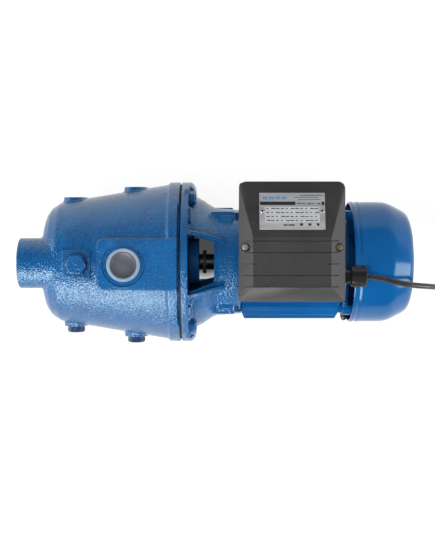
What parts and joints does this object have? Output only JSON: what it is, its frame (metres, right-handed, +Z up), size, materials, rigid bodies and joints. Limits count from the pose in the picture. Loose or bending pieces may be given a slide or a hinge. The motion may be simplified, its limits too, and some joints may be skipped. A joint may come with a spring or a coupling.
{
  "type": "shallow well jet pump",
  "caption": "Cast-iron self-priming jet pump with a close-coupled fan-cooled electric motor, a terminal box on top, and a mains lead with its plug.",
  "frame": {"origin": "on the ground plane under the feet, at the centre of the pump's length and width without the lead", "axes": "+X from the suction port to the fan cover along the shaft, +Z up through the discharge port"},
  "size_m": [0.5785, 0.1774, 0.207],
  "materials": {
    "blue_cast_enamel": "orange-peel gloss enamel over a cast skin",
    "blue_gloss_paint": "smooth gloss paint",
    "dark_fastener": "blue-black plated",
    "zinc_steel": "zinc plated",
    "lamination": "stacked laminations",
    "winding_copper": "varnished copper wire",
    "brass": "machined",
    "aluminium_label": "satin printed plate",
    "black_plastic": "fine spark texture",
    "white_plastic": "moulded",
    "grey_plastic": "moulded",
    "black_rubber": "satin",
    "gasket_paper": "pressed fibre"
  },
  "bodies": {
    "pump_body": {"pump_casing": "blue_cast_enamel", "lantern_bracket": "blue_cast_enamel", "flange_bolt_1": "blue_cast_enamel", "flange_bolt_2": "blue_cast_enamel", "flange_bolt_3": "blue_cast_enamel", "flange_bolt_4": "blue_cast_enamel", "priming_plug": "blue_cast_enamel", "motor_shell": "blue_gloss_paint", "rear_end_shield": "blue_gloss_paint", "fan_cover": "blue_gloss_paint", "side_plug_front": "dark_fastener", "side_plug_rear": "dark_fastener", "drain_plug": "dark_fastener", "front_bearing": "zinc_steel", "rear_bearing": "zinc_steel", "tie_rod_1": "zinc_steel", "tie_rod_2": "zinc_steel", "tie_rod_3": "zinc_steel", "tie_rod_4": "zinc_steel", "fan_cover_screw_left": "zinc_steel", "fan_cover_screw_right": "zinc_steel", "cover_screw_left": "zinc_steel", "cover_screw_right": "zinc_steel", "nameplate_rivet_left": "zinc_steel", "nameplate_rivet_right": "zinc_steel", "stator_core": "lamination", "stator_winding_front": "winding_copper", "stator_winding_rear": "winding_copper", "ejector_nozzle": "brass", "nameplate": "aluminium_label", "terminal_box_base": "black_plastic", "terminal_box_cover": "black_plastic", "gland_body": "black_plastic", "gland_nut": "black_plastic", "discharge_cap": "white_plastic", "capacitor": "white_plastic", "venturi_tube": "grey_plastic", "diffuser": "grey_plastic", "seal_stationary_seat": "grey_plastic", "terminal_block": "grey_plastic", "priming_plug_washer": "black_rubber", "diffuser_oring": "black_rubber", "shield_side_plug": "black_rubber", "terminal_box_gasket": "black_rubber", "power_cord": "black_rubber", "cord_tail": "black_rubber", "cord_coil": "black_rubber", "mains_plug": "black_rubber", "casing_gasket": "gasket_paper"},
    "rotor": {"rotor_shaft": "zinc_steel", "rotor_core": "lamination", "impeller": "brass", "impeller_nut": "zinc_steel", "impeller_key": "zinc_steel", "seal_rotary_head": "dark_fastener", "slinger": "black_rubber", "cooling_fan": "black_plastic", "fan_clip": "zinc_steel"}
  },
  "joints": [
    {"name": "shaft_spin", "type": "hinge", "parent": "pump_body", "child": "rotor", "pos_m": [0, 0.00075, 0.095], "axis": [1, 0, 0], "continuous": true}
  ]
}
